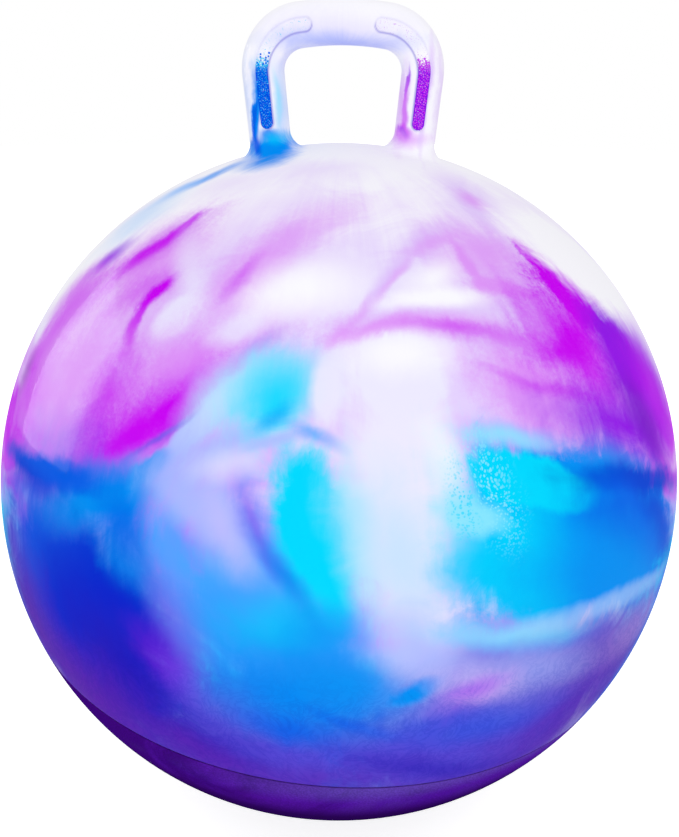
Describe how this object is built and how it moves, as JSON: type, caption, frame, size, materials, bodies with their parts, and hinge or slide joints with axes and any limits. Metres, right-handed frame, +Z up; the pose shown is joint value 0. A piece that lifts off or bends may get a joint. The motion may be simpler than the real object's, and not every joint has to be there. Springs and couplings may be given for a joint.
{
  "type": "hopper ball",
  "caption": "Inflated ride-on hopper ball: glossy marbled vinyl skin with a moulded loop handle on top, a stippled non-slip base and a push-in air valve with a plug on the back.",
  "frame": {"origin": "centre of the flat patch that the ball rests on", "axes": "+Z up through the handle, +X along the handle's bar, +Y towards the back, where the valve is"},
  "size_m": [0.45, 0.45, 0.529],
  "materials": {
    "gloss_skin": "glossy soft vinyl, marbled white, cyan, blue, violet and magenta",
    "stippled_skin": "matte stippled soft vinyl in the same marbling, violet and blue",
    "handle_skin": "glossy soft vinyl, white and pale lavender with blue and magenta, stippled grip strips",
    "valve_vinyl": "satin pale vinyl",
    "plug_plastic": "satin white plastic"
  },
  "bodies": {
    "ball": {"upper_shell": "gloss_skin", "base_shell": "stippled_skin", "handle": "handle_skin", "valve_seat": "valve_vinyl"},
    "plug": {"valve_plug": "plug_plastic"}
  },
  "joints": [
    {"name": "plug_pull", "type": "slide", "parent": "ball", "child": "plug", "axis": [0, 0.9397, 0.342], "range_m": [0, 0.025]}
  ]
}
